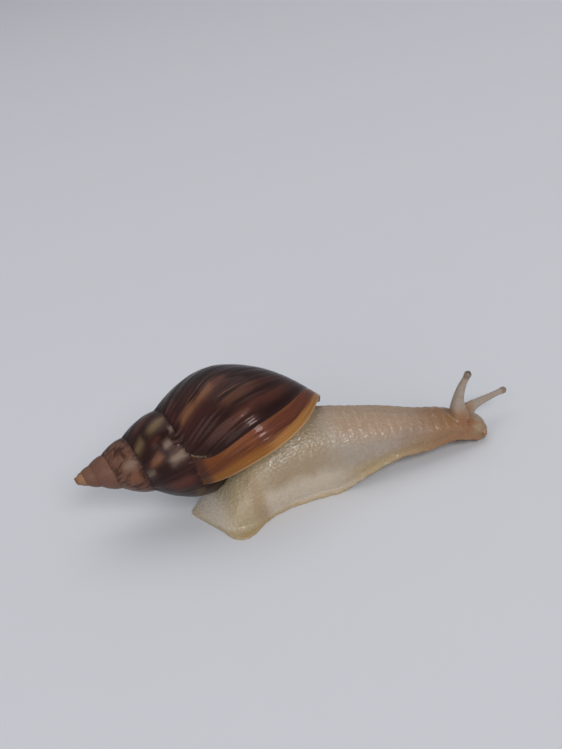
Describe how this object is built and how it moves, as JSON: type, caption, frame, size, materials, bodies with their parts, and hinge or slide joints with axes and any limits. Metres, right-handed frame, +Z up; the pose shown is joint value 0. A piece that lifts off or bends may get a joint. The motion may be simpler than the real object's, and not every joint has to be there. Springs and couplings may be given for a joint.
{
  "type": "giant african land snail",
  "caption": "Life-size still model of a young giant African land snail, crawling on its broad foot with neck and eye tentacles stretched out of a long conical spiral shell.",
  "frame": {"origin": "on the floor, under the middle of the flat part of the sole", "axes": "+X the way the snail faces, +Y to its left, +Z up"},
  "size_m": [0.1107, 0.0338, 0.0354],
  "materials": {
    "shell": "glossy snail shell, dark brown with paler bands along its growth lines",
    "skin": "wet, finely pebbled cream skin, orange-tan towards the head",
    "eye": "glossy dark brown"
  },
  "bodies": {
    "root": {"shell": "shell", "mantle_collar": "skin", "tail": "skin", "foot_rear": "skin", "trunk": "skin", "foot_middle": "skin", "neck_rear": "skin", "foot_front": "skin", "neck_front": "skin", "head": "skin", "snout": "skin", "eye_tentacle_right_root": "skin", "eye_tentacle_right_end": "skin", "eye_right": "eye", "eye_tentacle_left_root": "skin", "eye_tentacle_left_end": "skin", "eye_left": "eye", "lower_tentacle_right": "skin", "lower_tentacle_left": "skin"}
  },
  "joints": []
}
